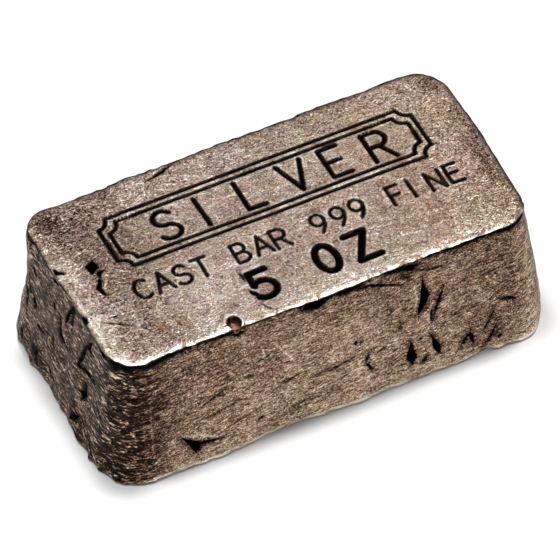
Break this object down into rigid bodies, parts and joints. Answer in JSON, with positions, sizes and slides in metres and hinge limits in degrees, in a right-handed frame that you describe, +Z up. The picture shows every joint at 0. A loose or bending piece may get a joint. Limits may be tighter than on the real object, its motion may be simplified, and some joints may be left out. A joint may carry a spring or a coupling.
{
  "type": "silver bar",
  "caption": "Hand-poured cast silver bar: tapered walls, rounded corners, rolled top edge, gas voids and a shallow shrink hollow underneath.",
  "frame": {"origin": "middle of the foot's outline, on the floor that the bar lies on", "axes": "+X along the bar, towards the right end as its mark is read; +Y across it, away from the reader; +Z up through the stamped face"},
  "size_m": [0.0465, 0.0251, 0.0152],
  "materials": {
    "tarnished_silver": "tarnished cast silver, brushed, dark in its hollows"
  },
  "bodies": {
    "root": {"silver_bar": "tarnished_silver"}
  },
  "joints": []
}
